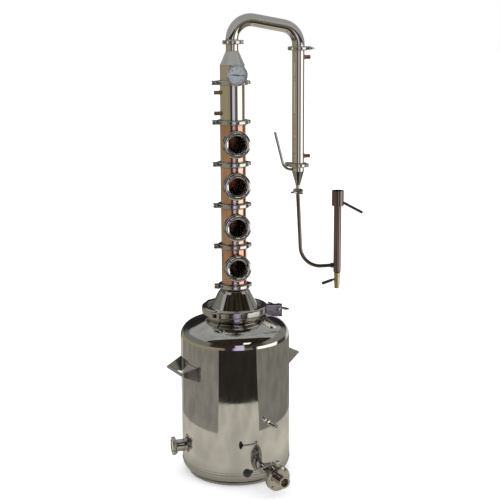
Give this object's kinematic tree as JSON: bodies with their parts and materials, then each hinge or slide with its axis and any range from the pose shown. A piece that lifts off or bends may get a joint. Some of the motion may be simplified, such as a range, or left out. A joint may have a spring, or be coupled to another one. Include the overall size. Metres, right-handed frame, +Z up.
{
  "type": "column still",
  "caption": "Stainless column still on a round boiler, with copper plate sections and sight glasses, a sloping arm, a condenser and a proofing parrot.",
  "frame": {"origin": "centre of the boiler's flat underside, on the column's axis", "axes": "+Z up the column, -Y towards the sight glasses and the dial, +X towards the condenser and the parrot"},
  "size_m": [0.8586, 0.6207, 1.9195],
  "materials": {
    "polished_steel": "mirror-polished stainless steel",
    "cast_steel": "bright-tumbled investment-cast stainless steel",
    "plain_steel": "turned stainless steel",
    "copper": "buffed copper, slightly warm and tarnished",
    "brass": "plain machined brass",
    "sight_glass": "clear borosilicate disc",
    "clear_lens": "clear lens",
    "gasket_white": "white PTFE and silicone",
    "dial_face": null,
    "black_metal": "matt black",
    "black_vinyl": "dipped vinyl",
    "black_plastic": "moulded phenolic ball"
  },
  "bodies": {
    "root": {"boiler_shell": "polished_steel", "boiler_base": "polished_steel", "boiler_ports": "polished_steel", "port_caps": "polished_steel", "handle_left": "polished_steel", "handle_right": "polished_steel", "lid_cone": "polished_steel", "column_sections": "copper", "section_ferrules": "polished_steel", "sight_sockets": "polished_steel", "sight_glasses": "sight_glass", "sight_gaskets": "gasket_white", "sight_ring_nuts": "polished_steel", "bubble_plates": "copper", "bubble_caps": "copper", "dephlegmator_shell": "polished_steel", "dephlegmator_bundle": "plain_steel", "condenser_shell": "polished_steel", "condenser_bundle": "plain_steel", "water_stubs": "copper", "head_reducer": "polished_steel", "thermometer_case": "polished_steel", "thermometer_dial": "dial_face", "thermometer_lens": "clear_lens", "arm_tube": "polished_steel", "outlet_reducer": "polished_steel", "vent_tube": "polished_steel", "drain_valve_body": "polished_steel", "joint_gaskets": "gasket_white", "lid_clamp_segments": "cast_steel", "lid_clamp_bolt": "plain_steel", "column_clamp_halves": "cast_steel", "pipe_clamp_halves": "cast_steel", "outlet_clamp_halves": "cast_steel", "clamp_links": "cast_steel", "clamp_pins": "plain_steel", "clamp_bolts": "plain_steel"},
    "column_wing_nut_1": {"column_wing_nut_1": "cast_steel"},
    "column_wing_nut_2": {"column_wing_nut_2": "cast_steel"},
    "column_wing_nut_3": {"column_wing_nut_3": "cast_steel"},
    "column_wing_nut_4": {"column_wing_nut_4": "cast_steel"},
    "column_wing_nut_5": {"column_wing_nut_5": "cast_steel"},
    "column_wing_nut_6": {"column_wing_nut_6": "cast_steel"},
    "pipe_wing_nut_1": {"pipe_wing_nut_1": "cast_steel"},
    "pipe_wing_nut_2": {"pipe_wing_nut_2": "cast_steel"},
    "pipe_wing_nut_3": {"pipe_wing_nut_3": "cast_steel"},
    "pipe_wing_nut_4": {"pipe_wing_nut_4": "cast_steel"},
    "pipe_wing_nut_5": {"pipe_wing_nut_5": "cast_steel"},
    "outlet_wing_nut": {"outlet_wing_nut": "cast_steel"},
    "lid_wing_nut": {"lid_wing_nut": "cast_steel"},
    "thermometer_needle": {"thermometer_needle": "black_metal"},
    "drain_valve": {"drain_valve_disc": "plain_steel", "drain_lever": "plain_steel", "drain_knob": "black_plastic"},
    "parrot": {"delivery_tube": "polished_steel", "parrot_tube": "polished_steel", "parrot_cup": "polished_steel", "parrot_valve_body": "brass"},
    "parrot_valve": {"parrot_valve_ball": "plain_steel", "parrot_lever": "black_vinyl"}
  },
  "joints": [
    {"name": "column_wing_nut_1_turn", "type": "hinge", "parent": "root", "child": "column_wing_nut_1", "pos_m": [-0.076, -0.018, 0.81], "axis": [0, -1, 0], "continuous": true},
    {"name": "column_wing_nut_2_turn", "type": "hinge", "parent": "root", "child": "column_wing_nut_2", "pos_m": [-0.076, -0.018, 0.98], "axis": [0, -1, 0], "continuous": true},
    {"name": "column_wing_nut_3_turn", "type": "hinge", "parent": "root", "child": "column_wing_nut_3", "pos_m": [-0.076, -0.018, 1.15], "axis": [0, -1, 0], "continuous": true},
    {"name": "column_wing_nut_4_turn", "type": "hinge", "parent": "root", "child": "column_wing_nut_4", "pos_m": [-0.076, -0.018, 1.32], "axis": [0, -1, 0], "continuous": true},
    {"name": "column_wing_nut_5_turn", "type": "hinge", "parent": "root", "child": "column_wing_nut_5", "pos_m": [-0.076, -0.018, 1.49], "axis": [0, -1, 0], "continuous": true},
    {"name": "column_wing_nut_6_turn", "type": "hinge", "parent": "root", "child": "column_wing_nut_6", "pos_m": [-0.076, -0.018, 1.648], "axis": [0, -1, 0], "continuous": true},
    {"name": "pipe_wing_nut_1_turn", "type": "hinge", "parent": "root", "child": "pipe_wing_nut_1", "pos_m": [0.02899, 0.04228, 1.807], "axis": [-0.5736, 0.8192, 0], "continuous": true},
    {"name": "pipe_wing_nut_2_turn", "type": "hinge", "parent": "root", "child": "pipe_wing_nut_2", "pos_m": [0.32626, -0.0005, 1.78], "axis": [0.342, -0.9397, 0], "continuous": true},
    {"name": "pipe_wing_nut_3_turn", "type": "hinge", "parent": "root", "child": "pipe_wing_nut_3", "pos_m": [0.2498, 0.04464, 1.305], "axis": [0.6428, 0.766, 0], "continuous": true},
    {"name": "pipe_wing_nut_4_turn", "type": "hinge", "parent": "root", "child": "pipe_wing_nut_4", "pos_m": [-0.272, -0.048, 0.138], "axis": [0, 0, 1], "continuous": true},
    {"name": "pipe_wing_nut_5_turn", "type": "hinge", "parent": "root", "child": "pipe_wing_nut_5", "pos_m": [0.06795, -0.29276, 0.1185], "axis": [-0.9588, -0.284, 0], "continuous": true},
    {"name": "outlet_wing_nut_turn", "type": "hinge", "parent": "root", "child": "outlet_wing_nut", "pos_m": [0.257, -0.0275, 1.195], "axis": [-1, 0, 0], "continuous": true},
    {"name": "lid_wing_nut_turn", "type": "hinge", "parent": "root", "child": "lid_wing_nut", "pos_m": [0.18342, -0.02637, 0.709], "axis": [0.2588, 0.9659, 0], "continuous": true},
    {"name": "thermometer_needle_swing", "type": "hinge", "parent": "root", "child": "thermometer_needle", "pos_m": [0, -0.082, 1.68], "axis": [0, -1, 0], "range_deg": [-45, 225], "stiffness_Nm_per_rad": 0.0005},
    {"name": "drain_valve_turn", "type": "hinge", "parent": "root", "child": "drain_valve", "pos_m": [0.09799, -0.33079, 0.077], "axis": [0, 0, 1], "range_deg": [0, 90]},
    {"name": "parrot_swivel", "type": "hinge", "parent": "root", "child": "parrot", "pos_m": [0.275, 0, 1.195], "axis": [0, 0, 1], "range_deg": [-140, 140]},
    {"name": "parrot_valve_turn", "type": "hinge", "parent": "parrot", "child": "parrot_valve", "pos_m": [0.45, 0.01, 0.803], "axis": [0, -1, 0], "range_deg": [0, 90]}
  ]
}
